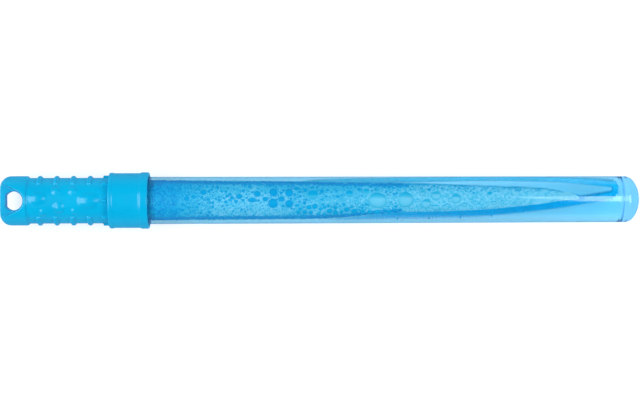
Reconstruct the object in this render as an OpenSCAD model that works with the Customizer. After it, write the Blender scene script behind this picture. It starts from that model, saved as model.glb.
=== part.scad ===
// Bubble wand: a clear tube of soap solution with a screw cap handle and a toothed loop on a stem.
// Every piece is drawn upright along its own axis, from the handle's end, then laid on its side.

/* [Tube] */
// Length of the tube from its rim to the tip of its dome
tube_len = 302.5; // [200:0.5:400]
// Outer diameter of the tube at its rim
tube_od = 27.5; // [24:0.1:40]
// Outer diameter of the tube where its dome starts
tube_base_od = 26.6; // [23:0.1:40]
// Wall thickness of the tube
tube_wall = 1.25; // [0.8:0.05:2]
// Height of the domed end
dome_len = 8.2; // [4:0.1:12]
// Thickness of the base at its middle
base_thick = 9.6; // [4:0.1:20]
// Radius of the corner inside the base
base_fillet = 3.5; // [1:0.1:6]

/* [Thread] */
// Rise of the thread in one turn
thread_pitch = 4; // [3:0.1:6]
// Turns of the thread
thread_turns = 1.5; // [1:0.25:2]
// Height of the thread's ridge
thread_height = 0.65; // [0.4:0.05:1]
// Width of the ridge at its root
thread_root = 1.7; // [1:0.05:2]
// Width of the ridge at its top
thread_top = 0.8; // [0.4:0.05:1.2]
// Distance from the tube's rim to the middle of the thread's first end
thread_lead = 3; // [2:0.1:6]

/* [Screw collar] */
// Length of the collar
collar_len = 23; // [18:0.1:40]
// Wall thickness of the collar's skirt
collar_wall = 1.35; // [1:0.05:3]
// Thickness of the collar's shoulder
shoulder_thick = 2; // [1.5:0.1:4]
// Width of the bead beside the grip
rear_bead_w = 2.3; // [1:0.1:4]
// Height of the bead beside the grip
rear_bead_h = 0.3; // [0.1:0.05:1]
// Width of the band at the open end
front_band_w = 4.8; // [2:0.1:8]
// Height of the band at the open end
front_band_h = 0.5; // [0.1:0.05:1.5]
// Size of the bevels on the bead and the band
collar_edge = 0.3; // [0.1:0.05:0.5]
// Length of the hollow boss inside the grip
boss_len = 8; // [5:0.1:15]
// Wall thickness of the hollow boss
boss_wall = 1.4; // [1:0.05:2]

/* [Grip] */
// Length of the grip between the eye cap and the collar
grip_len = 46.7; // [40:0.1:90]
// Outer diameter of the grip
grip_od = 26.5; // [22:0.1:28]
// Wall thickness of the grip
grip_wall = 1.8; // [1.2:0.1:3]
// Ribs on each side of the grip
rib_count = 4; // [1:1:4]
// Distance from one rib to the next
rib_pitch = 9.7; // [6:0.1:10]
// Distance from the grip's end to its first rib
rib_first = 6.5; // [3:0.1:8]
// Width of a rib
rib_w = 2.9; // [1.5:0.1:4]
// Height of a rib
rib_h = 1.2; // [0.5:0.05:1.5]
// Angle from a rib's middle to either end
rib_half_span = 40; // [20:1:60]
// Drive dogs around the foot of the grip
dog_count = 8; // [4:1:12]
// Length of a dog
dog_len = 3.6; // [2:0.1:6]
// Width of a dog
dog_w = 1.7; // [1:0.1:3]
// Height of a dog
dog_h = 1.3; // [0.5:0.05:1.3]
// Depth that each dog enters the collar
dog_engage = 0.8; // [0.4:0.05:1.2]
// Rise of a round bump as a share of its radius
bump_slope = 0.3; // [0.2:0.01:0.4]
// Round bumps on one face of the grip: distance along it, angle around it and radius of each
bumps = [[17, 27, 2.7], [26.6, 27, 2.6], [18.8, -19, 3.4], [9.4, -32, 2.1], [27.6, -28, 1.9]];
// Rise of a long bump as a share of its half length
long_slope = 0.22; // [0.15:0.01:0.3]
// Long bumps on one face of the grip: distance along it, angle around it and half length of each
long_bumps = [[6.5, 7, 4.9], [35.9, 0, 6]];

/* [Eye cap] */
// Length of the eye cap outside the grip
cap_len = 16.4; // [14:0.1:25]
// Step from the grip's side to the eye cap's side
cap_lip = 1.1; // [0.5:0.05:3]
// Radius of the corner at the free end
cap_corner = 6.2; // [2:0.1:8]
// Radius of the corner beside the grip
cap_edge = 0.8; // [0.3:0.1:1.5]
// Thickness of the web around the eye
web_thick = 8.8; // [5:0.1:14]
// Distance from the free end to the eye's middle
eye_pos = 7.5; // [6:0.05:9]
// Radius of the eye
eye_r = 5.5; // [3:0.05:5.8]
// Distance from the eye's middle to its flat side
eye_flat = 4.45; // [2:0.05:5]
// Margin of the pocket's floor around the eye
pocket_rim = 0.35; // [0.2:0.05:2]
// Slope of the pocket's walls in degrees
pocket_draft = 5.5; // [1:0.5:25]
// Lean of the pocket's round end toward the grip in degrees
pocket_lean = 3; // [0:0.5:6]
// Spread of the pocket's sides toward the free end in degrees
pocket_splay = 31; // [0:1:35]
// Length of the spigot inside the grip
spigot_len = 7; // [4:0.1:12]
// Wall thickness of the spigot
spigot_wall = 1.6; // [1:0.1:2.5]

/* [Wand] */
// Length of the loop
loop_len = 211; // [170:1:240]
// Clear room between the tip of the loop and the tube's base
tip_clear = 2.4; // [1:0.1:10]
// Clear room at each side of the loop inside the tube
loop_clear = 2.15; // [1.5:0.05:4]
// Width of the tip of the loop
tip_w = 6.9; // [5:0.1:10]
// Length over which the loop opens from the stem
shoulder_len = 54; // [30:1:65]
// Length over which the loop closes toward its tip
taper_len = 91; // [60:1:110]
// Width of one strand of the loop between its teeth
strand_w = 1.4; // [0.8:0.1:2]
// Depth of the loop
strand_depth = 1.9; // [1.5:0.1:4]
// Depth of the flat stem
stem_depth = 2.4; // [2:0.1:4.4]
// Spacing of the teeth along the strand
tooth_pitch = 1.3; // [1:0.1:2]
// Height of a tooth
tooth_h = 0.4; // [0.2:0.05:0.6]
// Width of the flat stem and diameter of its round shank
stem_w = 5; // [4:0.1:6]
// Length of the round shank inside the tube
shank_reach = 14; // [12:0.5:30]
// Turn of the loop around the tube's axis in degrees
wand_roll = 28.5; // [0:0.5:90]
// Lean of the wand toward the floor in degrees
wand_lean = 0.97; // [0:0.01:1]
// Lean of the wand to its side in degrees
wand_side = 0.8; // [0:0.01:1]
// Small nubs along the lower strand
nub_count = 7; // [0:1:7]
// Spacing of the nubs
nub_pitch = 18.4; // [10:0.1:20]
// Distance from the tip to the nearest nub
nub_first = 17.5; // [12:0.5:30]
// Radius of a nub
nub_r = 0.5; // [0.3:0.05:0.9]

/* [Wand plug] */
// Thickness of the plug's flange
flange_thick = 1.1; // [0.8:0.05:2]
// Reach of the flange past the collar's bore
flange_lip = 2.4; // [1.5:0.1:3]
// Wall thickness of the plug
plug_wall = 1.5; // [1:0.1:2.5]
// Wall thickness around the stem's socket
socket_wall = 1.5; // [1:0.1:3]
// Length of the stem's socket
socket_len = 7; // [4:0.1:10]
// Length of the snap barb
barb_len = 3; // [2:0.1:5]
// Height of the snap barb
barb_h = 0.6; // [0.3:0.05:1]
// Width of the slots between the snap fingers
slot_w = 1.6; // [1:0.1:3]

/* [Seal] */
// Thickness of the seal washer
seal_thick = 1.15; // [0.8:0.05:2]
// Slack of the washer around the stem
seal_slack = 0.4; // [0.2:0.05:1]

/* [Clearances] */
// Running clearance around the plug
run_gap = 0.06; // [0.02:0.01:0.1]
// Clearance around parts that are pushed together for good
push_gap = 0.03; // [0.01:0.01:0.1]
// Clearance between the thread's ridges and the walls across from them
thread_gap = 0.15; // [0.1:0.01:0.3]
// Clearance between stacked faces
face_gap = 0.05; // [0.02:0.01:0.2]

/* [Hidden] */
$fn = 72;
bite = 0.4;
over = 1;
seam_turn = 3.83;
dome_cuts = 20;
fillet_cuts = 8;
corner_cuts = 10;
edge_cuts = 4;
thread_cuts = 36;
thread_fade = 4;
fade_start = 0.4;
long_fat = 0.95;
long_run = 1.25;
rib_end = 0.95;
rib_inset = 1;
fork_share = 0.76;
grip_u = cap_len;
collar_u = grip_u + grip_len;
flange_u = collar_u + shoulder_thick + face_gap;
seal_u = flange_u + flange_thick + face_gap;
rim_u = seal_u + seal_thick + face_gap;
total_len = rim_u + tube_len;
tube_r = tube_od / 2;
base_r = tube_base_od / 2;
side_len = tube_len - dome_len;
cavity_len = tube_len - base_thick;
mouth_r = tube_r - tube_wall;
end_r = base_r + (tube_r - base_r) * (side_len - cavity_len) / side_len - tube_wall;
collar_bore_r = tube_r + thread_height + thread_gap;
collar_r = collar_bore_r + collar_wall;
axis_h = collar_r + max(front_band_h, rear_bead_h);
grip_r = grip_od / 2;
grip_bore_r = grip_r - grip_wall;
boss_r = grip_bore_r - push_gap;
boss_bore_r = boss_r - boss_wall;
plug_r = boss_bore_r - run_gap;
cap_r = grip_r + cap_lip;
spigot_r = grip_bore_r - push_gap;
socket_r = stem_w / 2 + push_gap;
seal_r = tube_r - thread_gap;
tip_s = cavity_len - tip_clear;
loop_s = tip_s - loop_len;
wide_half = end_r - loop_clear - strand_w / 2 - tooth_h;
neck_half = stem_w / 2 - strand_w / 2;
tip_half = tip_w / 2 - strand_w / 2;
cap_s = tip_s - tip_half - strand_w / 2 - tooth_h;
bar_s = shank_reach - stem_w;
steps = floor((cap_s - loop_s) / (tooth_pitch / 2));
turn_steps = 2 * floor(PI * tip_half / tooth_pitch);
fork_end = round(steps * fork_share * shoulder_len / (cap_s - loop_s));
rail_end = round(steps * (1 - (taper_len - tip_half) / (cap_s - loop_s)));

// lays a piece drawn upright on its side, the handle's end at the left
module lay() translate([-total_len / 2, 0, axis_h]) rotate([0, 90, 0]) rotate([0, 0, 180]) children();

// points of an arc in the half plane that is spun around the axis
function arc(r, u, a, from, to, n) =
    [for (i = [0:n]) let (t = from + (to - from) * i / n) [r + a * cos(t), u + a * sin(t)]];

// points of the dome's curve, from its side to its tip
function dome(r, u, h, n) = [for (i = [0:n]) [r * cos(90 * i / n), u + h * sin(90 * i / n)]];

// one ridge wound around the axis, its ends run down to the wall
module ridge(root_r, rise, u, turns) {
    n = floor(turns * thread_cuts);
    rings = [for (i = [0:n])
        let (a = 360 * turns * i / n)
        let (z = u + thread_pitch * turns * i / n)
        let (h = rise * min(1, (i + fade_start) / thread_fade, (n - i + fade_start) / thread_fade))
        let (w = thread_root + (thread_top - thread_root) * h / rise)
        let (low_r = root_r - sign(rise) * bite)
        for (p = [[low_r, -thread_root / 2], [root_r + h, -w / 2],
                  [root_r + h, w / 2], [low_r, thread_root / 2]])
            [p[0] * cos(a), p[0] * sin(a), z + p[1]]];
    sides = [for (i = [0:n - 1]) for (j = [0:3])
        let (k = (j + 1) % 4)
        [4 * i + j, 4 * i + 4 + j, 4 * i + 4 + k, 4 * i + k]];
    ends = [[0, 1, 2, 3], [4 * n + 3, 4 * n + 2, 4 * n + 1, 4 * n]];
    turned = [for (f = concat(sides, ends)) rise < 0 ? f : [for (j = [len(f) - 1:-1:0]) f[j]]];
    polyhedron(points = rings, faces = turned, convexity = 6);
}

// the clear tube, with the neck's thread and its seam turned a little off the lowest line
module tube() {
    outer = concat([[tube_r, 0]], dome(base_r, side_len, dome_len, dome_cuts));
    fillet = arc(end_r - base_fillet, cavity_len - base_fillet, base_fillet, 90, 0, fillet_cuts);
    color([0.7, 0.9, 1, 0.35])
    lay() translate([0, 0, rim_u]) {
        rotate([0, 0, seam_turn])
            rotate_extrude() polygon(concat(outer, [[0, cavity_len]], fillet, [[mouth_r, 0]]));
        ridge(tube_r, thread_height, thread_lead, thread_turns);
    }
}

// the soft washer between the plug and the tube's rim
module seal_washer() {
    color([0.95, 0.95, 0.93])
    lay() translate([0, 0, seal_u]) difference() {
        cylinder(h = seal_thick, r = seal_r);
        translate([0, 0, -over]) cylinder(h = seal_thick + 2 * over, r = stem_w / 2 + seal_slack);
    }
}

// distance from the loop's middle line to the middle of its strand
function half(s) =
    let (a = s - loop_s)
    let (b = cap_s - s)
    let (b_len = taper_len - tip_half)
    a < shoulder_len ? neck_half + (wide_half - neck_half) * sin(90 * a / shoulder_len)
    : b < b_len ? tip_half + (wide_half - tip_half) * sin(90 * b / b_len)
    : wide_half;

// rise of the nubs along the lower strand
function nub(s) = max(concat([0], [for (i = [0:1:nub_count - 1])
    let (d = s - tip_s + nub_first + nub_pitch * i)
    abs(d) < nub_r ? sqrt(nub_r * nub_r - d * d) : 0]));

// a list of points the other way round
function back(points) = [for (i = [len(points) - 1:-1:0]) points[i]];

// points along the outer or the inner edge of one strand, from one step to another
function run(side, out, from, to) = [for (i = [from:to])
    let (s = loop_s + (cap_s - loop_s) * i / steps)
    let (rise = side < 0 && out > 0 ? nub(s) : 0)
    [side * (half(s) + out * (strand_w / 2 + tooth_h * (i % 2)) + rise), s]];

// points along the outer or the inner edge of the bend at the loop's tip
function bend(out) = [for (i = [1:turn_steps - 1])
    let (t = 90 - 180 * i / turn_steps)
    let (r = tip_half + out * (strand_w / 2 + tooth_h * (i % 2)))
    [r * sin(t), cap_s + r * cos(t)]];

// puts the flat wand in its turned and leaned place inside the tube
module set_wand() {
    lay() translate([0, 0, rim_u])
        rotate([wand_side, -wand_lean, 0]) rotate([90, 0, wand_roll - 90]) children();
}

// a stretch of one toothed strand
module strand(side, from, to) {
    linear_extrude(strand_depth, center = true)
        polygon(concat(run(side, 1, from, to), back(run(side, -1, from, to))));
}

// the round shank that the plug holds, the flat stem and the fork where the loop begins
module wand_stem() {
    foot_u = flange_u + flange_thick + face_gap - socket_len;
    color([0.25, 0.7, 0.9]) {
        lay() translate([0, 0, foot_u]) cylinder(h = rim_u + shank_reach - foot_u, r = stem_w / 2);
        set_wand() {
            translate([-stem_w / 2, bar_s, -stem_depth / 2])
                cube([stem_w, loop_s - bar_s + 2 * tooth_pitch, stem_depth]);
            strand(1, 0, fork_end);
            strand(-1, 0, fork_end);
        }
    }
}

// the straight upper side of the loop
module wand_upper_rail() {
    color([0.25, 0.7, 0.9]) set_wand() strand(1, fork_end, rail_end);
}

// the straight lower side of the loop
module wand_lower_rail() {
    color([0.25, 0.7, 0.9]) set_wand() strand(-1, fork_end, rail_end);
}

// the tapered end of the loop with its round tip
module wand_tip() {
    outer = concat(run(1, 1, rail_end, steps), bend(1), back(run(-1, 1, rail_end, steps)));
    inner = concat(run(-1, -1, rail_end, steps), back(bend(-1)), back(run(1, -1, rail_end, steps)));
    color([0.25, 0.7, 0.9])
    set_wand() linear_extrude(strand_depth, center = true) polygon(concat(outer, inner));
}

// the swivel plug that holds the stem and snaps into the collar's boss
module wand_plug() {
    shank_u = collar_u - boss_len - face_gap;
    color([0.2, 0.75, 0.93])
    lay() difference() {
        union() {
            translate([0, 0, flange_u]) cylinder(h = flange_thick, r = boss_bore_r + flange_lip);
            translate([0, 0, shank_u - over / 2]) cylinder(h = flange_u - shank_u + over, r = plug_r);
            translate([0, 0, shank_u - barb_len])
                cylinder(h = barb_len, r1 = plug_r - barb_h, r2 = plug_r + barb_h);
        }
        difference() {
            translate([0, 0, shank_u - barb_len - over])
                cylinder(h = flange_u - shank_u + barb_len + over, r = plug_r - plug_wall);
            translate([0, 0, flange_u + flange_thick - socket_len - socket_wall])
                cylinder(h = socket_len + socket_wall, r = socket_r + socket_wall);
        }
        translate([0, 0, flange_u + flange_thick - socket_len]) cylinder(h = socket_len + over, r = socket_r);
        for (a = [0, 90])
            rotate([0, 0, a]) translate([-grip_r, -slot_w / 2, shank_u - barb_len - over])
                cube([grip_od, slot_w, barb_len + over + boss_len / 2]);
    }
}

// the collar that screws on the tube's neck
module screw_collar() {
    end = collar_len;
    slot_deep = grip_wall / 2 + dog_h + push_gap;
    bead_r = collar_r + rear_bead_h;
    band_r = collar_r + front_band_h;
    rear = [[bead_r - collar_edge, 0], [bead_r, collar_edge],
            [bead_r, rear_bead_w - collar_edge], [collar_r, rear_bead_w]];
    front = [[collar_r, end - front_band_w], [band_r, end - front_band_w + 2 * collar_edge],
             [band_r, end - collar_edge], [band_r - collar_edge, end]];
    boss = [[boss_bore_r, shoulder_thick], [boss_bore_r, -boss_len], [boss_r, -boss_len], [boss_r, 0]];
    bore = [[collar_bore_r, end], [collar_bore_r, shoulder_thick]];
    color([0.1, 0.72, 0.92])
    lay() translate([0, 0, collar_u]) {
        difference() {
            rotate_extrude() polygon(concat(boss, rear, front, bore));
            for (i = [0:dog_count - 1])
                rotate([0, 0, 360 * i / dog_count])
                    translate([grip_r - grip_wall / 2, -dog_w / 2 - push_gap, -over])
                    cube([slot_deep, dog_w + 2 * push_gap, over + dog_engage + push_gap]);
        }
        rotate([0, 0, 180])
            ridge(collar_bore_r, -thread_height, rim_u - collar_u + thread_lead, thread_turns);
    }
}

// one round bump on the grip
module bump(u, angle, r) {
    rise = r * bump_slope;
    ball = (r * r + rise * rise) / (2 * rise);
    rotate([0, 0, -angle]) translate([grip_r + rise - ball, 0, u]) sphere(ball, $fn = 48);
}

// one long bump on the grip, an arch along it
module long_bump(u, angle, a) {
    rise = a * long_slope;
    arch = (a * a + rise * rise) / (2 * rise);
    side = a * long_fat;
    half_angle = long_run * asin(a / arch);
    rotate([0, 0, -angle]) translate([grip_r + rise - arch, 0, u])
        rotate([90, 0, 0]) rotate([0, 0, -half_angle])
        rotate_extrude(angle = 2 * half_angle) translate([arch - side, 0]) circle(side, $fn = 48);
}

// one half-round rib across the grip's side, with round ends
module rib(u, side) {
    round_r = (rib_w * rib_w / 4 + rib_h * rib_h) / (2 * rib_h);
    mid_r = grip_r + rib_h - round_r;
    translate([0, 0, u]) rotate([0, 0, side - rib_half_span]) {
        rotate_extrude(angle = 2 * rib_half_span) translate([mid_r, 0]) circle(round_r, $fn = 24);
        for (a = [rib_inset, 2 * rib_half_span - rib_inset])
            rotate([0, 0, a]) translate([mid_r, 0, 0]) rotate([0, 90, 0]) sphere(rib_end * round_r, $fn = 24);
    }
}

// the handle's hollow barrel
module grip() {
    color([0.1, 0.72, 0.92])
    lay() translate([0, 0, grip_u]) difference() {
        union() {
            translate([0, 0, face_gap]) cylinder(h = grip_len - 2 * face_gap, r = grip_r);
            for (i = [0:rib_count - 1]) {
                rib(rib_first + rib_pitch * i, 90);
                rib(rib_first + rib_pitch * i, 270);
            }
            for (face = [0, 180])
                rotate([0, 0, face]) {
                    for (b = bumps)
                        bump(b[0], b[1], b[2]);
                    for (b = long_bumps)
                        long_bump(b[0], b[1], b[2]);
                }
            for (i = [0:dog_count - 1])
                rotate([0, 0, 360 * i / dog_count])
                    translate([grip_r - grip_wall / 2, -dog_w / 2, grip_len - dog_len])
                    cube([grip_wall / 2 + dog_h, dog_w, dog_len + dog_engage]);
        }
        translate([0, 0, -over]) cylinder(h = grip_len + 2 * over, r = grip_bore_r);
    }
}

// one pocket beside the web, cut down from the side of the eye cap
module pocket() {
    floor_r = eye_r + pocket_rim;
    deep = cap_r - web_thick / 2;
    rim_r = floor_r + deep * tan(pocket_draft);
    reach = eye_pos + over;
    spread = reach * tan(pocket_splay);
    hull() {
        translate([web_thick / 2, 0, eye_pos])
            rotate([0, 90, 0]) cylinder(h = bite, r = floor_r);
        translate([cap_r - bite, 0, eye_pos + deep * tan(pocket_lean)])
            rotate([0, 90, 0]) cylinder(h = bite, r = rim_r);
        translate([web_thick / 2, -floor_r - spread, eye_pos - reach])
            cube([bite, 2 * (floor_r + spread), bite]);
        translate([cap_r - bite, -rim_r - spread, eye_pos - reach])
            cube([bite, 2 * (rim_r + spread), bite]);
    }
}

// the stepped end with its D-shaped eye
module eye_cap() {
    side = concat([[0, 0]], arc(cap_r - cap_corner, cap_corner, cap_corner, -90, 0, corner_cuts),
                  arc(cap_r - cap_edge, cap_len - cap_edge, cap_edge, 0, 90, edge_cuts));
    inner = spigot_r - spigot_wall;
    foot = [[spigot_r, cap_len], [spigot_r, cap_len + spigot_len], [inner, cap_len + spigot_len],
            [inner, cap_len - over], [0, cap_len - over]];
    color([0.1, 0.72, 0.92])
    lay() difference() {
        rotate_extrude() polygon(concat(side, foot));
        pocket();
        rotate([0, 0, 180]) pocket();
        intersection() {
            translate([-cap_r, 0, eye_pos]) rotate([0, 90, 0]) cylinder(h = 2 * cap_r, r = eye_r);
            translate([-cap_r, -cap_r, eye_pos - eye_flat]) cube(2 * cap_r);
        }
    }
}

tube();
seal_washer();
wand_stem();
wand_upper_rail();
wand_lower_rail();
wand_tip();
wand_plug();
screw_collar();
grip();
eye_cap();
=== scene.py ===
import math
import random

import bmesh
import bpy
from mathutils import Matrix, Vector, noise


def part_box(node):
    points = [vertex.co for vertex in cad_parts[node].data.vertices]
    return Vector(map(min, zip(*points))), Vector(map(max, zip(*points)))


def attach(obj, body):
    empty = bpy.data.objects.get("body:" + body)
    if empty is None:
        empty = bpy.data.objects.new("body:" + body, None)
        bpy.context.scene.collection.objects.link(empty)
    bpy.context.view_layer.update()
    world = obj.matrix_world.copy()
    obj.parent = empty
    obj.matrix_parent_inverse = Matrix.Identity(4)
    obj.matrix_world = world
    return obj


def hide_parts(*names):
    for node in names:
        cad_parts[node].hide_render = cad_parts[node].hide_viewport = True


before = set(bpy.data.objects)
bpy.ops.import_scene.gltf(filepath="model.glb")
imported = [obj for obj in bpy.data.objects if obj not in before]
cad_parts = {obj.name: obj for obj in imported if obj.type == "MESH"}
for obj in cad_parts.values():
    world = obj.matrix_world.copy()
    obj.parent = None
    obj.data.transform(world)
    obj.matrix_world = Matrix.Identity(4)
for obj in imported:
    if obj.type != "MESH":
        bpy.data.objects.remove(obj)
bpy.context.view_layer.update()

scene = bpy.context.scene
rng = random.Random(41)

# Sizes are in millimetres: u runs along the axis from the handle's end, y to the side and z up from the axis.
MM = 0.001
X0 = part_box("eye_cap")[0].x
AXIS_Z = (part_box("screw_collar")[0].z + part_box("screw_collar")[1].z) / 2
RIM_U = (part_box("tube")[0].x - X0) / MM
END_U = (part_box("tube")[1].x - X0) / MM
COLLAR_END_U = (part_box("screw_collar")[1].x - X0) / MM

# Tube
TUBE_R = 13.75
BASE_R = 13.3
WALL = 1.25
DOME_LEN = 8.2
BASE_THICK = 9.6
BASE_FILLET = 3.5
SIDE_END_U = END_U - DOME_LEN
CAVITY_END_U = END_U - BASE_THICK

# Thread
PITCH = 4.0
TURNS = 1.5
RIDGE_H = 0.65
RIDGE_ROOT = 1.7
RIDGE_TOP = 0.8
LEAD = 3.0

# Collar
COLLAR_U = 63.1
COLLAR_R = 15.9
COLLAR_BORE_R = 14.55
SHOULDER = 2.0
BOSS_LEN = 8.0
BOSS_R = 11.42
BOSS_BORE_R = 10.02
REAR_BEAD_W = 2.3
REAR_BEAD_H = 0.3
FRONT_BAND_W = 4.8
FRONT_BAND_H = 0.5

# Grip
GRIP_U = 16.4
GRIP_LEN = 46.7
GRIP_R = 13.25
GRIP_BORE_R = 11.45
RIB_COUNT = 4
RIB_PITCH = 9.7
RIB_FIRST = 6.5
RIB_W = 2.9
RIB_H = 1.2
RIB_HALF_SPAN = 40.0
DOG_COUNT = 8
DOG_LEN = 3.6
DOG_W = 1.7
DOG_H = 1.3
BUMP_SLOPE = 0.3
LONG_SLOPE = 0.22
# distance along the grip, angle around it from the top and radius
BUMPS = [(17, 27, 2.7), (26.6, 27, 2.6), (18.8, -19, 3.4), (9.4, -32, 2.1), (27.6, -28, 1.9)]
# distance along the grip, angle around it from the top and half length
LONG_BUMPS = [(6.5, 7, 4.9), (35.9, 0, 6)]


def place(u, y, z):
    """A point of the row frame from millimetres along and around the axis."""
    return Vector((X0 + u * MM, y * MM, AXIS_Z + z * MM))


def clamp(value, low=0.0, high=1.0):
    return max(low, min(high, value))


def smooth(value):
    t = clamp(value)
    return t * t * (3 - 2 * t)


def along(table, u, column):
    """A value between the rows of a short list that starts each row with u."""
    if u <= table[0][0]:
        return table[0][column]
    for a, b in zip(table, table[1:]):
        if u <= b[0]:
            t = (u - a[0]) / (b[0] - a[0])
            return a[column] + (b[column] - a[column]) * t
    return table[-1][column]


def bore_r(u):
    """Radius of the tube's bore."""
    t = (u - RIM_U) / (SIDE_END_U - RIM_U)
    return TUBE_R + (BASE_R - TUBE_R) * t - WALL


def to_object(name, bm, material, body, nodes=()):
    """Turns a bmesh into a smooth piece that rides on a body."""
    bmesh.ops.recalc_face_normals(bm, faces=bm.faces)
    mesh = bpy.data.meshes.new(name)
    bm.to_mesh(mesh)
    bm.free()
    for face in mesh.polygons:
        face.use_smooth = True
    return add_piece(name, mesh, material, body, nodes)


def add_piece(name, mesh, material, body, nodes=()):
    mesh.materials.clear()
    mesh.materials.append(material)
    obj = bpy.data.objects.new(name, mesh)
    scene.collection.objects.link(obj)
    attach(obj, body)
    if nodes:
        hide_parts(*nodes)
    return obj


def skin(bm, rings, closed_ring=True, closed_loop=False):
    """Faces between rows of vertices; a row of one vertex is a pole."""
    pairs = list(zip(rings, rings[1:]))
    if closed_loop:
        pairs.append((rings[-1], rings[0]))
    for a, b in pairs:
        n = max(len(a), len(b))
        for i in range(n if closed_ring else n - 1):
            j = (i + 1) % n
            if len(a) == 1:
                bm.faces.new((a[0], b[j], b[i]))
            elif len(b) == 1:
                bm.faces.new((a[i], a[j], b[0]))
            else:
                bm.faces.new((a[i], a[j], b[j], b[i]))


def lathe(bm, profile, cuts, closed=False):
    """Spins points (u, r) around the axis."""
    rings = []
    for u, r in profile:
        if r < 1e-6:
            rings.append([bm.verts.new(place(u, 0, 0))])
            continue
        ring = []
        for i in range(cuts):
            a = 2 * math.pi * i / cuts
            ring.append(bm.verts.new(place(u, r * math.sin(a), r * math.cos(a))))
        rings.append(ring)
    skin(bm, rings, closed_loop=closed)


def rounded(points, cuts=5):
    """Rounds the corners of a profile: each point is (u, r, corner radius)."""
    out = []
    for i, (u, r, radius) in enumerate(points):
        p = Vector((u, r))
        if radius <= 0 or i in (0, len(points) - 1):
            out.append((u, r))
            continue
        before = Vector(points[i - 1][:2]) - p
        after = Vector(points[i + 1][:2]) - p
        reach = min(radius, before.length * 0.49, after.length * 0.49)
        a = p + before.normalized() * reach
        b = p + after.normalized() * reach
        for k in range(cuts + 1):
            t = k / cuts
            q = a * (1 - t) ** 2 + p * 2 * t * (1 - t) + b * t ** 2
            out.append((q.x, q.y))
    return out


def ridge(bm, root_r, rise, start_u, phase, steps_per_turn=48):
    """A thread ridge wound around the axis, its ends run down to the wall."""
    n = int(TURNS * steps_per_turn)
    fade = steps_per_turn // 8
    sink = -math.copysign(0.25, rise)
    rows = []
    for i in range(n + 1):
        a = math.radians(phase) + 2 * math.pi * TURNS * i / n
        u = start_u + PITCH * TURNS * i / n
        h = rise * smooth(min(1, (i + 0.5) / fade, (n - i + 0.5) / fade))
        row = []
        for k in range(9):
            t = -1 + k / 4
            side = abs(t)
            width = RIDGE_TOP / RIDGE_ROOT
            lift = 1 if side < width else 1 - smooth((side - width) / (1 - width))
            r = root_r + sink + (h - sink) * lift
            row.append(bm.verts.new(place(u + t * RIDGE_ROOT / 2, -r * math.sin(a), r * math.cos(a))))
        rows.append(row)
    skin(bm, rows)
    bm.faces.new(rows[0])
    bm.faces.new(rows[-1])


# Materials

def new_material(name):
    mat = bpy.data.materials.new(name)
    mat.use_nodes = True
    tree = mat.node_tree
    return mat, tree, tree.nodes["Principled BSDF"]


def node(tree, kind, **values):
    n = tree.nodes.new(kind)
    for key, value in values.items():
        if hasattr(n, key):
            setattr(n, key, value)
        else:
            n.inputs[key.replace("_", " ")].default_value = value
    return n


def ramp(tree, stops):
    n = tree.nodes.new("ShaderNodeValToRGB")
    while len(n.color_ramp.elements) < len(stops):
        n.color_ramp.elements.new(0.5)
    for element, (pos, color) in zip(n.color_ramp.elements, stops):
        element.position = pos
        element.color = (*color, 1)
    return n


def object_noise(tree, scale, detail=3.0):
    coords = tree.nodes.new("ShaderNodeTexCoord")
    n = node(tree, "ShaderNodeTexNoise", Scale=scale, Detail=detail)
    tree.links.new(coords.outputs["Object"], n.inputs["Vector"])
    return n


def bump(tree, bsdf, height, strength, distance):
    n = node(tree, "ShaderNodeBump", Strength=strength, Distance=distance)
    tree.links.new(height, n.inputs["Height"])
    tree.links.new(n.outputs["Normal"], bsdf.inputs["Normal"])


def moulded(name, dark, light, rough, gloss=0.32, rough_span=0.06, grain=0.05):
    """Moulded plastic: faint flow marks in its colour, a fine grain and a little uneven gloss."""
    mat, tree, bsdf = new_material(name)
    flow = object_noise(tree, 60, 4)
    tint = ramp(tree, [(0.3, dark), (0.7, light)])
    tree.links.new(flow.outputs["Fac"], tint.inputs["Fac"])
    tree.links.new(tint.outputs["Color"], bsdf.inputs["Base Color"])
    patch = object_noise(tree, 220, 2)
    span = node(tree, "ShaderNodeMapRange", To_Min=rough - rough_span, To_Max=rough + rough_span)
    tree.links.new(patch.outputs["Fac"], span.inputs["Value"])
    tree.links.new(span.outputs["Result"], bsdf.inputs["Roughness"])
    fine = object_noise(tree, 2600, 2)
    bump(tree, bsdf, fine.outputs["Fac"], grain, 0.0002)
    bsdf.inputs["Specular IOR Level"].default_value = gloss
    return mat


def let_light_through(tree, bsdf, share):
    """Lets a share of the lamps' light pass straight through, so that what lies behind is lit."""
    path = tree.nodes.new("ShaderNodeLightPath")
    part = node(tree, "ShaderNodeMath", operation="MULTIPLY")
    part.inputs[1].default_value = share
    open_way = tree.nodes.new("ShaderNodeBsdfTransparent")
    mix = tree.nodes.new("ShaderNodeMixShader")
    tree.links.new(path.outputs["Is Shadow Ray"], part.inputs[0])
    tree.links.new(part.outputs["Value"], mix.inputs["Fac"])
    tree.links.new(bsdf.outputs["BSDF"], mix.inputs[1])
    tree.links.new(open_way.outputs["BSDF"], mix.inputs[2])
    tree.links.new(mix.outputs["Shader"], tree.nodes["Material Output"].inputs["Surface"])


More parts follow.
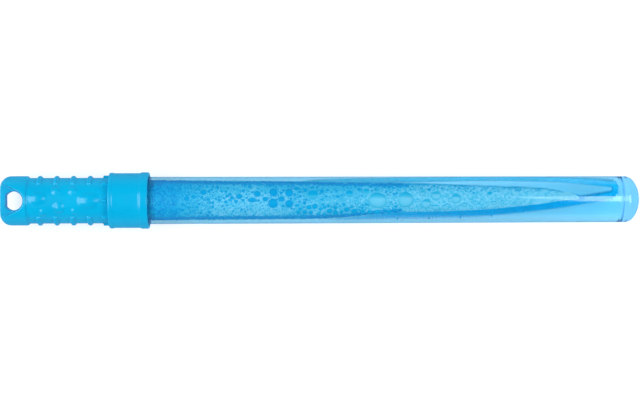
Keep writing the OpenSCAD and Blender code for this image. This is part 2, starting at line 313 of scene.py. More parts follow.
def clear(name, ior, rough, tint, density):
    """Clear plastic or liquid whose colour deepens with the way through it."""
    mat, tree, bsdf = new_material(name)
    bsdf.inputs["Base Color"].default_value = (1, 1, 1, 1)
    bsdf.inputs["Transmission Weight"].default_value = 1
    bsdf.inputs["Roughness"].default_value = rough
    bsdf.inputs["IOR"].default_value = ior
    absorb = tree.nodes.new("ShaderNodeVolumeAbsorption")
    absorb.inputs["Color"].default_value = (*tint, 1)
    absorb.inputs["Density"].default_value = density
    output = tree.nodes["Material Output"]
    tree.links.new(absorb.outputs["Volume"], output.inputs["Volume"])
    let_light_through(tree, bsdf, 1.0)
    return mat, tree, bsdf


HANDLE_DARK = (0.0, 0.42, 0.70)
HANDLE_LIGHT = (0.0, 0.455, 0.74)
handle_mat = moulded("handle_plastic", HANDLE_DARK, HANDLE_LIGHT, 0.24)
wand_mat = moulded("wand_plastic", (0.0, 0.50, 0.66), (0.0, 0.54, 0.70), 0.35, 0.05)
seal_mat = moulded("seal_foam", (0.78, 0.8, 0.8), (0.86, 0.87, 0.86), 0.75, grain=0.4)

tube_mat, tube_tree, tube_bsdf = clear("clear_plastic", 1.5, 0.06, (0.06, 0.69, 0.97), 64)
ripple = object_noise(tube_tree, 45, 2)
bump(tube_tree, tube_bsdf, ripple.outputs["Fac"], 0.04, 0.0006)

liquid_mat = clear("bubble_solution", 1.33, 0.0, (0.07, 0.79, 0.95), 72)[0]

FOAM_TONES = [
    (0.0, (0.0, 0.17, 0.46)),
    (0.35, (0.0, 0.32, 0.53)),
    (0.7, (0.025, 0.355, 0.53)),
    (0.9, (0.05, 0.38, 0.54)),
    (1.0, (0.14, 0.46, 0.6)),
]
FOAM_PASS = 0.85


def foam_material(name, rough, cells):
    mat, tree, bsdf = new_material(name)
    tone = node(tree, "ShaderNodeAttribute", attribute_name="tone")
    colors = ramp(tree, FOAM_TONES)
    tree.links.new(tone.outputs["Fac"], colors.inputs["Fac"])
    tree.links.new(colors.outputs["Color"], bsdf.inputs["Base Color"])
    bsdf.inputs["Roughness"].default_value = rough
    bsdf.inputs["Specular IOR Level"].default_value = 0.2
    coords = tree.nodes.new("ShaderNodeTexCoord")
    cell = node(tree, "ShaderNodeTexVoronoi", Scale=cells)
    tree.links.new(coords.outputs["Object"], cell.inputs["Vector"])
    bump(tree, bsdf, cell.outputs["Distance"], 0.15, -0.0002)
    let_light_through(tree, bsdf, FOAM_PASS)
    return mat


foam_mat = foam_material("foam", 0.45, 1600)
bubble_mat = foam_material("bubble_film", 0.12, 300)

# Tube: the wall, the thick domed base and the neck's thread

def tube_profile():
    profile = []
    for i in range(25):
        a = math.radians(90 * i / 24)
        profile.append((SIDE_END_U + DOME_LEN * math.cos(a), BASE_R * math.sin(a)))
    for i in range(1, 12):
        u = SIDE_END_U + (RIM_U - SIDE_END_U) * i / 12
        profile.append((u, TUBE_R + (BASE_R - TUBE_R) * (u - RIM_U) / (SIDE_END_U - RIM_U)))
    lip = rounded([(RIM_U + 2, TUBE_R, 0), (RIM_U, TUBE_R, 0.5), (RIM_U, bore_r(RIM_U), 0.5),
                   (RIM_U + 2, bore_r(RIM_U), 0)])
    profile += lip
    end_r = bore_r(CAVITY_END_U)
    for i in range(1, 12):
        u = RIM_U + (CAVITY_END_U - BASE_FILLET - RIM_U) * i / 12
        profile.append((u, bore_r(u)))
    for i in range(9):
        a = math.radians(90 * i / 8)
        profile.append((CAVITY_END_U - BASE_FILLET * (1 - math.sin(a)),
                        end_r - BASE_FILLET * (1 - math.cos(a))))
    profile.append((CAVITY_END_U, 0))
    return profile


tube_bm = bmesh.new()
lathe(tube_bm, tube_profile(), 128)
ridge(tube_bm, TUBE_R, RIDGE_H, RIM_U + LEAD, 0)
to_object("tube_shell", tube_bm, tube_mat, "bottle", ["tube"])

# Bubble solution: the liquid under the air pocket

LIQUID_START_U = 71.0
LIQUID_GROW = 0.03
LIQUID_GAP = -0.03
POCKET_END_U = 334.0
# distance along the axis, far edge and near edge of the air pocket on the wall
POCKET = [
    (71, 10.9, -10.7),
    (92, 10.8, -10.6),
    (156, 10.2, -10.3),
    (173, 10.1, -10.2),
    (188, 9.8, -10.0),
    (200, 9.5, -9.4),
    (214, 9.3, -8.2),
    (232, 9.0, -6.6),
    (255, 8.5, -6.2),
    (284, 7.5, -5.0),
    (301, 7.0, -3.3),
    (313, 6.2, -2.1),
    (321, 5.0, -0.8),
    (327, 3.7, 0.3),
    (331, 2.6, 0.8),
    (334, 1.4, 1.2),
]
LIQUID_ARC = 72
LIQUID_TOP = 24


def pocket_edges(u):
    return along(POCKET, u, 1), along(POCKET, u, 2)


def wall_z(u, y):
    return math.sqrt(max(0.0, bore_r(u) ** 2 - y * y))


def level_z(u, y):
    """Height of the liquid's surface, a straight line between the pocket's two edges."""
    far, near = pocket_edges(u)
    t = (y - near) / (far - near)
    return wall_z(u, near) + (wall_z(u, far) - wall_z(u, near)) * t


def liquid_ring(u, radius, pocket):
    """Points around the liquid at one station: the wetted wall, then the free surface."""
    if pocket:
        far, near = pocket_edges(u)
        a_far = math.asin(far / bore_r(u))
        a_near = math.asin(near / bore_r(u))
    else:
        far = near = 0
        a_far, a_near = 0.02, -0.02
    points = []
    for i in range(LIQUID_ARC + 1):
        a = a_far + (2 * math.pi + a_near - a_far) * i / LIQUID_ARC
        points.append((radius * math.sin(a), radius * math.cos(a)))
    for i in range(1, LIQUID_TOP):
        t = i / LIQUID_TOP
        if pocket:
            y = near + (far - near) * t
            rim = min(t, 1 - t) * (far - near)
            lift = 0.15 * math.exp(-rim / 0.8)
            points.append((y, level_z(u, y) + lift))
        else:
            a = a_near + (a_far - a_near) * t
            points.append((radius * math.sin(a), radius * math.cos(a)))
    return points


def make_liquid():
    bm = bmesh.new()
    stations = [LIQUID_START_U + i * 2.0 for i in range(int((POCKET_END_U - LIQUID_START_U) / 2.0))]
    stations += [POCKET_END_U - 1.0, POCKET_END_U - 0.3]
    rows = []
    for u in stations:
        rows.append([bm.verts.new(place(u, y, z)) for y, z in liquid_ring(u, bore_r(u) + LIQUID_GROW, True)])
    u = POCKET_END_U + 0.5
    while u < CAVITY_END_U - BASE_FILLET - 1:
        rows.append([bm.verts.new(place(u, y, z)) for y, z in liquid_ring(u, bore_r(u) + LIQUID_GROW, False)])
        u += 3.0
    end_u = CAVITY_END_U - LIQUID_GAP
    end_r = bore_r(CAVITY_END_U) - LIQUID_GAP
    for i in range(13):
        a = math.radians(90 * i / 12)
        u = end_u - BASE_FILLET * (1 - math.sin(a))
        r = end_r - BASE_FILLET * (1 - math.cos(a))
        rows.append([bm.verts.new(place(u, y, z)) for y, z in liquid_ring(u, r, False)])
    for share in (0.6, 0.25):
        rows.append([bm.verts.new(place(end_u, y, z)) for y, z in liquid_ring(end_u, end_r * share, False)])
    rows.append([bm.verts.new(place(end_u, 0, 0))])
    skin(bm, rows)
    bm.faces.new(rows[0])
    return to_object("bubble_solution", bm, liquid_mat, "bottle")


make_liquid()

# Foam: a thin bed of fine froth on the liquid, with larger bubbles on it

PX_MM = 0.5804
FOAM_START_U = 74.0
FOAM_STEP = 0.3
FOAM_COLUMNS = 84
FOAM_PRESS = 0.06
FOAM_LAP = 0.3
# distance along the axis and tone of the froth, from deep blue to pale, raised a little by the collar as
# painted light in its shadow
FOAM_TONE = [(71, 0.3), (95, 0.33), (101, 0.42), (108, 0.6), (116, 0.8), (126, 0.9), (150, 0.92), (175, 0.84),
             (200, 0.84), (230, 0.92), (260, 0.96), (334, 1.0)]


def photo_u(x):
    return (x - 1) * PX_MM


def photo_y(x, y):
    axis = 200.79 - 0.00276 * x
    return (axis - y) * PX_MM


def foam_top(u, y):
    """Height of the froth's top, pressed against the tube's wall."""
    return wall_z(u, y) + FOAM_PRESS


def froth_tone(u, y, far, near):
    """Tone of the froth at a point: its run along the tube, small bubbles in it, darker edges and painted
    shade on its far side.
    """
    spot = Vector((u, y, 0))
    deep = 1 - smooth((u - 96) / 26)
    dots = noise.voronoi(spot * 0.8)[0][0]
    small = noise.voronoi(spot * 1.5 + Vector((7, 3, 1)))[0][0]
    tone = along(FOAM_TONE, u, 1)
    tone -= (0.18 + 0.26 * deep) * smooth((0.5 - dots) / 0.2)
    tone += 0.28 * (smooth((small - 0.2) / 0.4) - 0.55)
    tone += 0.14 * noise.noise(spot * 0.25) + 0.1 * noise.noise(spot * 1.3)
    # Painted shade: darker toward the far side (+Y), where the froth turns away from the light.
    tone -= 0.12 * smooth((y - 2) / 5) * smooth((260 - u) / 40)
    rim = min(far - y, (y - near) if u < 235 else far - y)
    edge = 0.2 * smooth((265 - u) / 40) - 0.15 * smooth((u - 250) / 30)
    return clamp(tone - edge * smooth(1 - rim / 1.2))


def make_foam():
    bm = bmesh.new()
    tone_layer = bm.verts.layers.float.new("tone")
    rows = []
    u = FOAM_START_U
    while u < POCKET_END_U - 1.5:
        far, near = pocket_edges(u)
        far += FOAM_LAP
        near -= FOAM_LAP
        ragged = smooth((245 - u) / 30)
        far += 0.45 * ragged * (0.5 - noise.voronoi(Vector((u * 0.7, 3, 0)))[0][0])
        near -= 0.45 * ragged * (0.5 - noise.voronoi(Vector((u * 0.7, 9, 0)))[0][0])
        top, bottom = [], []
        for i in range(FOAM_COLUMNS + 1):
            y = near + (far - near) * i / FOAM_COLUMNS
            tone = froth_tone(u, y, far, near)
            lift = 0.05 * noise.noise(Vector((u, y, 5)) * 2.5)
            deep = 0.25 * smooth(min(far - y, y - near) / 1.2)
            for z, side in ((foam_top(u, y) + lift, top), (level_z(u, y) - deep, bottom)):
                v = bm.verts.new(place(u, y, z))
                v[tone_layer] = tone
                side.append(v)
        rows.append(top + bottom[::-1])
        u += FOAM_STEP
    skin(bm, rows)
    bm.faces.new(rows[0])
    bm.faces.new(rows[-1])
    return to_object("foam_bed", bm, foam_mat, "bottle")


foam = make_foam()
foam.data.set_sharp_from_angle(angle=math.radians(60))


def cap(bm, layer, u, y, rx, ry, height, tone_at, segments, rings):
    """One bubble's film, a low dome on the froth; tone_at takes how far out and how far to the far side."""
    rows = []
    for k in range(rings + 1):
        out = math.sin(math.pi / 2 * k / rings)
        lift = height * math.cos(math.pi / 2 * k / rings) - 0.06 * (k == rings)
        row = []
        for i in range(segments if k else 1):
            a = 2 * math.pi * i / segments
            dy = out * math.sin(a)
            at = y + ry * dy
            v = bm.verts.new(place(u + rx * out * math.cos(a), at, foam_top(u, at) + lift))
            v[layer] = clamp(tone_at(out, dy))
            row.append(v)
        rows.append(row)
    skin(bm, rows)


def window(out, side):
    return 0.26 - 0.14 * out ** 6


def half_shaded_dome(out, side):
    # Painted shade: darker on the far side (+Y); also a little darker toward the rim.
    return 0.32 + 0.45 * smooth((0.25 - side) / 0.6) - 0.05 * out ** 4


def pale_dome(out, side):
    # Painted shade: darker toward the far side (+Y); also a little darker toward the rim.
    return 0.97 - 0.42 * smooth((side - 0.25) / 0.7) - 0.12 * out ** 4


def link(out, side):
    return 0.36 - 0.16 * out ** 3


def speck(out, side):
    return 0.2


def edge_bead(out, side):
    return 0.06


def pale_bead(out, side):
    return 1.0 - 0.3 * out ** 3


# middle and half sizes of the larger bubbles, in pixels of the photograph
WINDOWS = [
    (274, 192.5, 4, 3.8), (289.5, 193, 4, 3.7), (273.5, 203, 4.7, 4.6), (289.5, 203.5, 4, 3.6),
    (204.5, 192.5, 3, 2.4), (258, 194, 3.4, 2.8), (253, 200, 4.6, 2.2), (240, 196.5, 3.2, 2.6),
    (237, 201.5, 2, 1.6), (209.5, 199.5, 1.8, 1.5), (220.5, 200, 1.8, 1.5), (195, 197, 2.2, 1.8),
    (188, 198.5, 2.6, 2.2), (233, 197.5, 2, 1.6), (266, 199, 2.8, 2.2), (282, 199, 3.2, 2.6),
    (297, 189, 3, 1.6), (297.5, 205, 2, 1.6), (283.5, 205.5, 1.6, 1.3), (244, 200, 1.7, 1.3),
    (305.5, 190.5, 2.1, 1.8), (312.5, 188, 2.2, 1.2), (322, 191.5, 2.2, 1.7),
    (327.5, 190.5, 1.4, 1.2), (359, 189.8, 2, 1.3), (370.3, 187, 1.8, 1.2), (355, 187.2, 1.5, 0.9),
    (375, 189.8, 1.4, 1), (384, 187.5, 1.7, 1.2), (392.5, 188.3, 1.2, 0.9), (399.5, 187.5, 1.6, 1),
    (403, 185.8, 1.5, 1), (428, 189.8, 2, 1.2), (423, 185.5, 1.3, 0.8), (441, 188.8, 1.4, 1),
    (471.9, 192.9, 1.2, 0.9), (456, 190.6, 1, 0.8), (322, 199.4, 1.4, 0.9), (326, 196.3, 1.3, 0.9),
    (337.5, 196.5, 1.7, 1.3), (341.5, 195.5, 1.2, 0.9),
]
# domes painted with shade on their far half
HALF_SHADED_DOMES = [(313, 195, 5, 4.6), (349, 193.8, 3.7, 3.2), (366, 191.2, 2.9, 2.2), (488, 193.4, 2.4, 1.7)]
PALE_DOMES = [
    (377.2, 200.3, 9.6, 7.4), (404.8, 199.6, 7.8, 7.4), (421.3, 193.6, 3.4, 2.4),
    (434.8, 195.8, 5.3, 4.2), (425, 203.6, 4.8, 4.6), (416.5, 200.3, 2.6, 1.8),
    (434.5, 207, 4.5, 2.7), (444, 207, 4, 2.7), (449, 200, 2.6, 2.4), (454.4, 198.8, 5.2, 4.5),
    (491.9, 202.8, 3.2, 2.2), (463, 204.4, 3, 2), (445.6, 205, 3, 2), (469.4, 200, 2, 1.5),
    (480, 200.6, 2, 1.5), (469.4, 206.6, 2.3, 1.6), (500, 201.3, 2.2, 1.4), (507, 198, 1.5, 1.1),
]
CHAIN = [
    (315, 205.8, 2.8, 2.6), (309, 206.8, 2.4, 2.2), (297.8, 205, 1.9, 1.7),
    (329.5, 210.5, 2.7, 2.4), (335.5, 212, 2.6, 2.4), (346.5, 209, 2.7, 2.2),
    (341.5, 211.5, 1.8, 1.7), (354, 210.5, 3.3, 2.3), (362, 211.2, 2.5, 2.2), (369, 211.5, 2, 1.9),
    (376.8, 211.5, 3.5, 2.2), (388.5, 211.3, 2.4, 1.7), (305, 211.5, 2.3, 2), (311, 212, 2.1, 2),
    (298.5, 212, 1.9, 1.9), (320.5, 208.5, 1.8, 1.6), (324.5, 207, 1.8, 1.6),
    (318, 213.5, 1.8, 1.6), (324.5, 214, 1.9, 1.6), (300.5, 208.5, 1.6, 1.5),
]
WINDOW_RISE = 0.1
DOME_RISE = 0.14
MAX_RISE = 0.6


def make_bubbles():
    bm = bmesh.new()
    layer = bm.verts.layers.float.new("tone")
    taken = []
    for spots, tone_at, rise in ((WINDOWS, window, WINDOW_RISE), (HALF_SHADED_DOMES, half_shaded_dome, DOME_RISE),
                                 (PALE_DOMES, pale_dome, DOME_RISE), (CHAIN, link, DOME_RISE)):
        for x, y, rx, ry in spots:
            low = min(rx, ry) * PX_MM
            u, at = photo_u(x), photo_y(x, y)
            cap(bm, layer, u, at, rx * PX_MM, ry * PX_MM, min(MAX_RISE, low * rise + 0.08), tone_at, 28, 7)
            taken.append((u, at, max(rx, ry) * PX_MM))

    def scatter(count, u_span, y_span, r_span, tone_at):
        """Small bubbles where no larger one sits; y_span is the share of the pocket's width they lie in."""
        for _ in range(count):
            u = rng.uniform(*u_span)
            far, near = pocket_edges(u)
            y = near + (far - near) * rng.uniform(*y_span)
            r = r_span[0] + (r_span[1] - r_span[0]) * rng.random() ** 2
            if not near + r < y < far - r:
                continue
            if any((u - a) ** 2 + (y - b) ** 2 < ((r + c) * 0.92) ** 2 for a, b, c in taken):
                continue
            taken.append((u, y, r))
            cap(bm, layer, u, y, r, r * rng.uniform(0.75, 1), r * 0.15 + 0.07, tone_at, 12, 3)

    def edge_row(u_from, u_to, far_side, r_span, inset, tone_at):
        """A ragged row of bubbles along one edge of the froth."""
        u = u_from
        while u < u_to:
            far, near = pocket_edges(u)
            r = rng.uniform(*r_span)
            step = inset + rng.uniform(-0.35, 0.35)
            y = far - step if far_side else near + step
            cap(bm, layer, u, y, r, r * 0.8, 0.1, tone_at, 10, 3)
            u += r * rng.uniform(1.0, 1.7)

    scatter(420, (86, 104), (0.03, 0.97), (0.25, 0.6), speck)
    scatter(420, (94, 124), (0.1, 0.97), (0.4, 1.0), window)
    scatter(560, (112, 180), (0.42, 0.97), (0.35, 1.25), window)
    scatter(140, (112, 180), (0.05, 0.42), (0.3, 0.7), window)
    scatter(120, (112, 180), (0.05, 0.95), (0.4, 1.0), pale_bead)
    scatter(260, (166, 234), (0.02, 0.4), (0.5, 1.3), link)
    scatter(220, (175, 236), (0.55, 0.97), (0.3, 0.8), window)
    scatter(240, (228, 312), (0.74, 0.97), (0.22, 0.6), window)
    scatter(160, (205, 300), (0.05, 0.6), (0.4, 1.1), pale_bead)
    for inset, tone_at in ((0.6, edge_bead), (1.3, speck)):
        edge_row(84, 236, True, (0.5, 0.9), inset, tone_at)
        edge_row(84, 232, False, (0.5, 0.9), inset, tone_at)
    edge_row(236, 325, True, (0.25, 0.5), 0.35, window)
    return to_object("foam_bubbles", bm, bubble_mat, "bottle")


make_bubbles()

# Grip: one skin around the barrel, raised where the ribs, bumps and dogs are

GRIP_ROWS = 200
GRIP_CUTS = 400
BLEND = 0.5
GRIP_TUCK = 0.8
FOOT_FILLET = 0.9


def soft_max(a, b, k):
    h = clamp(0.5 + 0.5 * (a - b) / k)
    return b + (a - b) * h + k * h * (1 - h)


def arc_mm(angle, middle):
    """Distance around the grip's side from an angle in degrees to another."""
    d = (angle - middle + 180) % 360 - 180
    return math.radians(d) * GRIP_R


def ball_rise(d2, radius, rise):
    """Height of a low ball over the side at a squared distance from its middle."""
    ball = (radius * radius + rise * rise) / (2 * rise)
    return math.sqrt(max(0.0, ball * ball - d2)) - (ball - rise) if d2 < ball * ball else -1.0


def grip_rise(v, angle):
    """Height of the grip's skin over the plain barrel, v along it and the angle from the top toward +Y."""
    h = FOOT_FILLET - math.sqrt(FOOT_FILLET ** 2 - max(0.0, FOOT_FILLET - v) ** 2)
    round_r = (RIB_W * RIB_W / 4 + RIB_H * RIB_H) / (2 * RIB_H)
    for side in (90, 270):
        over = max(0.0, abs((angle - side + 180) % 360 - 180) - RIB_HALF_SPAN)
        if over > 8:
            continue
        beyond = math.radians(over) * GRIP_R
        for i in range(RIB_COUNT):
            d2 = (v - RIB_FIRST - RIB_PITCH * i) ** 2 + beyond ** 2
            if d2 < 9:
                rise = math.sqrt(max(0.0, round_r ** 2 - d2)) + RIB_H - round_r if d2 < round_r ** 2 else -1.0
                h = soft_max(h, max(rise, -1.0), BLEND)
    for face in (0, 180):
        for at, middle, radius in BUMPS:
            d2 = (v - at) ** 2 + arc_mm(angle, middle + face) ** 2
            if d2 < (radius + 1.5) ** 2:
                h = soft_max(h, max(ball_rise(d2, radius, radius * BUMP_SLOPE), -1.0), BLEND)
        for at, middle, length in LONG_BUMPS:
            width = length * 0.8
            d2 = ((v - at) / length) ** 2 + (arc_mm(angle, middle + face) / width) ** 2
            if d2 < 1.8:
                rise = length * LONG_SLOPE
                h = soft_max(h, max(ball_rise(d2 * length * length, length, rise), -1.0), BLEND)
    if v > GRIP_LEN - DOG_LEN - 1:
        for i in range(DOG_COUNT):
            d = abs(arc_mm(angle, 360 * i / DOG_COUNT))
            if d < DOG_W:
                side = smooth((DOG_W / 2 + 0.2 - d) / 0.4)
                start = smooth((v - GRIP_LEN + DOG_LEN + 0.2) / 0.5)
                h = max(h, DOG_H * side * start)
    return h


def make_grip():
    bm = bmesh.new()
    rows = []
    edge = 0.35
    for i in range(GRIP_ROWS + 1):
        v = GRIP_LEN * i / GRIP_ROWS
        close = GRIP_LEN - v
        drop = edge - math.sqrt(max(0.0, edge ** 2 - max(0.0, edge - close) ** 2))
        row = []
        for j in range(GRIP_CUTS):
            angle = 360 * j / GRIP_CUTS
            r = GRIP_R + grip_rise(v, angle) - drop
            a = math.radians(angle)
            u = GRIP_U + v - GRIP_TUCK * (i == 0)
            row.append(bm.verts.new(place(u, r * math.sin(a), r * math.cos(a))))
        rows.append(row)
    for v in (GRIP_LEN, GRIP_LEN * 0.5, -GRIP_TUCK):
        rows.append([bm.verts.new(place(GRIP_U + v, GRIP_BORE_R * math.sin(2 * math.pi * j / GRIP_CUTS),
                                        GRIP_BORE_R * math.cos(2 * math.pi * j / GRIP_CUTS)))
                     for j in range(GRIP_CUTS)])
    skin(bm, rows, closed_loop=True)
    return to_object("grip_shell", bm, handle_mat, "handle", ["grip"])


make_grip()

# Screw collar: rounded bead and band, hollow boss and inner thread

def make_collar():
    bm = bmesh.new()
    u = COLLAR_U
    end = COLLAR_END_U
    bead = COLLAR_R + REAR_BEAD_H
    band = COLLAR_R + FRONT_BAND_H
    profile = rounded([
        (u + SHOULDER, BOSS_BORE_R, 0),
        (u - BOSS_LEN, BOSS_BORE_R, 0.3),
        (u - BOSS_LEN, BOSS_R, 0.3),
        (u, BOSS_R, 0.2),
        (u, bead, 1.1),
        (u + REAR_BEAD_W, bead, 0.8),
        (u + REAR_BEAD_W + 0.5, COLLAR_R, 0.6),
        (end - FRONT_BAND_W - 0.4, COLLAR_R, 0.8),
        (end - FRONT_BAND_W + 0.6, band, 1.0),
        (end, band, 1.0),
        (end, COLLAR_BORE_R, 0.4),
        (u + SHOULDER, COLLAR_BORE_R, 0.3),
        (u + SHOULDER, BOSS_BORE_R + 0.01, 0),
    ])
    lathe(bm, profile, 160, closed=True)
    ridge(bm, COLLAR_BORE_R, -RIDGE_H, RIM_U + LEAD, 180)
    return to_object("collar_ring", bm, handle_mat, "handle", ["screw_collar"])


make_collar()

# Eye cap: the solid's own shape with moulded, rounded edges

EYE_VOXEL = 0.2
EYE_SMOOTH = 14


def make_eye_cap():
    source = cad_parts["eye_cap"]
    mesh = source.data.copy()
    obj = bpy.data.objects.new("eye_work", mesh)
    scene.collection.objects.link(obj)
    remesh = obj.modifiers.new("remesh", "REMESH")
    remesh.mode = "VOXEL"
    remesh.voxel_size = EYE_VOXEL * MM
    soften = obj.modifiers.new("soften", "SMOOTH")
    soften.factor = 0.5
    soften.iterations = EYE_SMOOTH
    bpy.context.view_layer.update()
    done = bpy.data.meshes.new_from_object(obj.evaluated_get(bpy.context.evaluated_depsgraph_get()))
    bpy.data.objects.remove(obj)
    for face in done.polygons:
        face.use_smooth = True
    done.name = "eye_cap_shell"
    return add_piece("eye_cap_shell", done, handle_mat, "handle", ["eye_cap"])


make_eye_cap()

# Wand: the stem and the toothed loop as one moulded piece

LOOP_LEN = 211.0
TIP_CLEAR = 2.4
LOOP_CLEAR = 2.15
TIP_W = 6.9
SHOULDER_LEN = 54.0
TAPER_LEN = 91.0
STRAND_W = 1.4
STRAND_CORE = 2.4
STRAND_INSET = 0.5
STRAND_DEPTH = 1.9
STEM_W = 5.0
STEM_DEPTH = 2.4
TOOTH_PITCH = 1.3
TOOTH_H = 0.4
TOOTH_RISE = 0.55
GROOVE = 0.2
SHANK_REACH = 14.0
SHANK_CUTS = 40
SOCKET_LEN = 7.0
WAND_ROLL = 28.5
WAND_LEAN = 0.97
WAND_SIDE = 0.8
NUB_COUNT = 7
NUB_PITCH = 18.4
NUB_FIRST = 17.5
NUB_R = 0.5
TIP_S = CAVITY_END_U - RIM_U - TIP_CLEAR
LOOP_S = TIP_S - LOOP_LEN
WIDE_HALF = bore_r(CAVITY_END_U) - LOOP_CLEAR - STRAND_W / 2 - TOOTH_H
NECK_HALF = STEM_W / 2 - STRAND_W / 2
TIP_HALF = TIP_W / 2 - STRAND_W / 2
CAP_S = TIP_S - TIP_HALF - STRAND_W / 2 - TOOTH_H


def turned(axis, angle):
    return Matrix.Rotation(math.radians(angle), 4, axis)


UPRIGHT = Matrix.Translation((X0 / MM, 0, AXIS_Z / MM)) @ turned("Y", 90) @ turned("Z", 180)
FLAT = (UPRIGHT @ Matrix.Translation((0, 0, RIM_U)) @ turned("Y", -WAND_LEAN) @ turned("X", WAND_SIDE)
        @ turned("Z", WAND_ROLL - 90) @ turned("X", 90))


def half_width(s):
    """Distance from the loop's middle line to the middle of its strand."""
    a = s - LOOP_S
    b = CAP_S - s
    run = TAPER_LEN - TIP_HALF
    if a < SHOULDER_LEN:
        return NECK_HALF + (WIDE_HALF - NECK_HALF) * math.sin(math.pi / 2 * a / SHOULDER_LEN)
    if b < run:
        return TIP_HALF + (WIDE_HALF - TIP_HALF) * math.sin(math.pi / 2 * b / run)
    return WIDE_HALF


def bar_ring(bm, matrix, x, s, out, half_w, half_d, corner):
    """A rounded section of a flat bar, out being the way across it in its own plane."""
    ring = []
    for sx, sz in ((1, 1), (-1, 1), (-1, -1), (1, -1)):
        for k in range(3):
            a = math.pi / 4 * k
            c, d = (math.cos(a), math.sin(a)) if sx * sz > 0 else (math.sin(a), math.cos(a))
            across = sx * (half_w - corner + corner * c)
            deep = sz * (half_d - corner + corner * d)
            ring.append(bm.verts.new(matrix @ Vector((x + out[0] * across, s + out[1] * across, deep)) * MM))
    return ring


def loop_path():
    """Points along the loop, from the stem around the tip and back, with the way out of the loop."""
    path = []
    s = LOOP_S
    while s < CAP_S:
        path.append((half_width(s), s, (1.0, 0.0)))
        s += TOOTH_PITCH / 4
    turns = 4 * int(math.pi * TIP_HALF / TOOTH_PITCH)
    for i in range(turns):
        a = math.pi * i / turns
        path.append((TIP_HALF * math.cos(a), CAP_S + TIP_HALF * math.sin(a), (math.cos(a), math.sin(a))))
    back = [(-x, s, (-1.0, 0.0)) for x, s, _ in reversed(path[:-turns])]
    return path + back


def make_wand():
    bm = bmesh.new()
    rings = []
    for i, (x, s, out) in enumerate(loop_path()):
        tooth = i % 4 < 2
        half_w = STRAND_CORE / 2 + (TOOTH_RISE if tooth else 0.0)
        half_d = STRAND_DEPTH / 2 - (0.0 if tooth else GROOVE)
        inset = STRAND_INSET * smooth((s - LOOP_S - 20) / 30) * smooth((CAP_S - s - 25) / 35)
        rings.append(bar_ring(bm, FLAT, x - out[0] * inset, s, out, half_w, half_d, 0.2))
    skin(bm, rings)
    for ring in (rings[0], rings[-1]):
        bm.faces.new(ring)
    stem = [bar_ring(bm, FLAT, 0, s, (1.0, 0.0), STEM_W / 2 - drop, STEM_DEPTH / 2 - drop, 0.5)
            for s, drop in ((SHANK_REACH - STEM_W, 0), (LOOP_S + 1.4, 0), (LOOP_S + 2, 0.3))]
    skin(bm, stem)
    for ring in (stem[0], stem[-1]):
        bm.faces.new(ring)
    foot = -SOCKET_LEN - 1.2
    shank = []
    outline = [(foot, 0.1, 0), (foot, STEM_W / 2, 0.4), (SHANK_REACH, STEM_W / 2, 1.2), (SHANK_REACH, 0.1, 0)]
    for w, r in rounded(outline):
        ring = []
        for i in range(SHANK_CUTS):
            a = 2 * math.pi * i / SHANK_CUTS
            ring.append(bm.verts.new(UPRIGHT @ Vector((r * math.cos(a), r * math.sin(a), RIM_U + w)) * MM))
        shank.append(ring)
    skin(bm, shank)
    for ring in (shank[0], shank[-1]):
        bm.faces.new(ring)
    for i in range(NUB_COUNT):
        s = TIP_S - NUB_FIRST - NUB_PITCH * i
        spot = FLAT @ Vector((-half_width(s) - STRAND_W / 2 - TOOTH_H, s, 0)) * MM
        bmesh.ops.create_icosphere(bm, subdivisions=3, radius=NUB_R * MM, matrix=Matrix.Translation(spot))
    return to_object("wand_moulding", bm, wand_mat, "wand",
                     ["wand_stem", "wand_upper_rail", "wand_lower_rail", "wand_tip"])


make_wand()

# CAD nodes that stay

for name, mat in (("wand_plug", handle_mat), ("seal_washer", seal_mat)):
    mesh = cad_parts[name].data
    mesh.materials.clear()
    mesh.materials.append(mat)

# Floor, light and camera

def make_floor():
    bm = bmesh.new()
    size = 6.0
    for x, y in ((-size, -size), (size, -size), (size, size), (-size, size)):
        bm.verts.new((x, y, 0))
    bm.faces.new(bm.verts)
    mesh = bpy.data.meshes.new("floor")
    bm.to_mesh(mesh)
    bm.free()
    mat, tree, bsdf = new_material("floor_paper")
    grain = object_noise(tree, 400, 2)
    tone = ramp(tree, [(0.3, (0.42, 0.42, 0.42)), (0.7, (0.44, 0.44, 0.44))])
    tree.links.new(grain.outputs["Fac"], tone.inputs["Fac"])
    tree.links.new(tone.outputs["Color"], bsdf.inputs["Base Color"])
    bsdf.inputs["Roughness"].default_value = 0.9
    bsdf.inputs["Specular IOR Level"].default_value = 0.0
    bsdf.inputs["Emission Color"].default_value = (1, 1, 1, 1)
    bsdf.inputs["Emission Strength"].default_value = 0.66
    mesh.materials.append(mat)
    floor = bpy.data.objects.new("floor", mesh)
    floor.visible_glossy = False
    scene.collection.objects.link(floor)


make_floor()


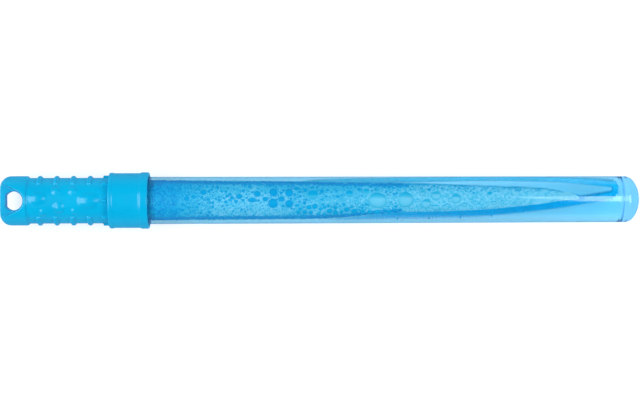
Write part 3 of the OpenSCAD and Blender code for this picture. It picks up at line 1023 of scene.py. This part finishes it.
def softbox(name, where, aim, width, height, power, color=(1, 1, 1)):
    data = bpy.data.lights.new(name, "AREA")
    data.shape = "RECTANGLE"
    data.size = width
    data.size_y = height
    data.energy = power
    data.color = color
    obj = bpy.data.objects.new(name, data)
    obj.location = where
    obj.rotation_euler = (Vector(aim) - Vector(where)).to_track_quat("-Z", "Y").to_euler()
    scene.collection.objects.link(obj)


softbox("left_box", (-1.0, 0.0, 1.25), (-0.1, 0, 0), 1.45, 0.8, 20.5)
softbox("right_box", (1.1, 0.0, 1.1), (0.1, 0, 0), 0.95, 0.6, 11)
softbox("streak_box", (0.47, 0.06, 1.1), (0.14, 0, 0), 0.5, 0.42, 2.2)

world = bpy.data.worlds.new("studio")
world.use_nodes = True
scene.world = world
world_tree = world.node_tree
coords = world_tree.nodes.new("ShaderNodeTexCoord")
split = world_tree.nodes.new("ShaderNodeSeparateXYZ")
sky = ramp(world_tree, [
    (0.0, (0.24, 0.57, 0.95)),
    (0.15, (0.2, 0.41, 0.68)),
    (0.5, (0.11, 0.17, 0.24)),
    (0.9, (0.05, 0.11, 0.18)),
])
world_tree.links.new(coords.outputs["Generated"], split.inputs["Vector"])
world_tree.links.new(split.outputs["Z"], sky.inputs["Fac"])
world_tree.links.new(sky.outputs["Color"], world_tree.nodes["Background"].inputs["Color"])
world_tree.nodes["Background"].inputs["Strength"].default_value = 0.8

CAMERA_RISE = 1.1
SENSOR = 36.0
VIEW_WIDTH = 371.5
camera_data = bpy.data.cameras.new("camera")
camera_data.sensor_fit = "HORIZONTAL"
camera_data.sensor_width = SENSOR
camera_data.lens = SENSOR * CAMERA_RISE / (VIEW_WIDTH * MM)
camera = bpy.data.objects.new("camera", camera_data)
camera.location = (0.15 * MM, 0.0, AXIS_Z + CAMERA_RISE)
camera.rotation_euler = (0, 0, math.radians(-0.16))
scene.collection.objects.link(camera)
scene.camera = camera

scene.view_settings.view_transform = "Standard"
scene.cycles.max_bounces = 24
scene.cycles.transmission_bounces = 20
scene.cycles.glossy_bounces = 12
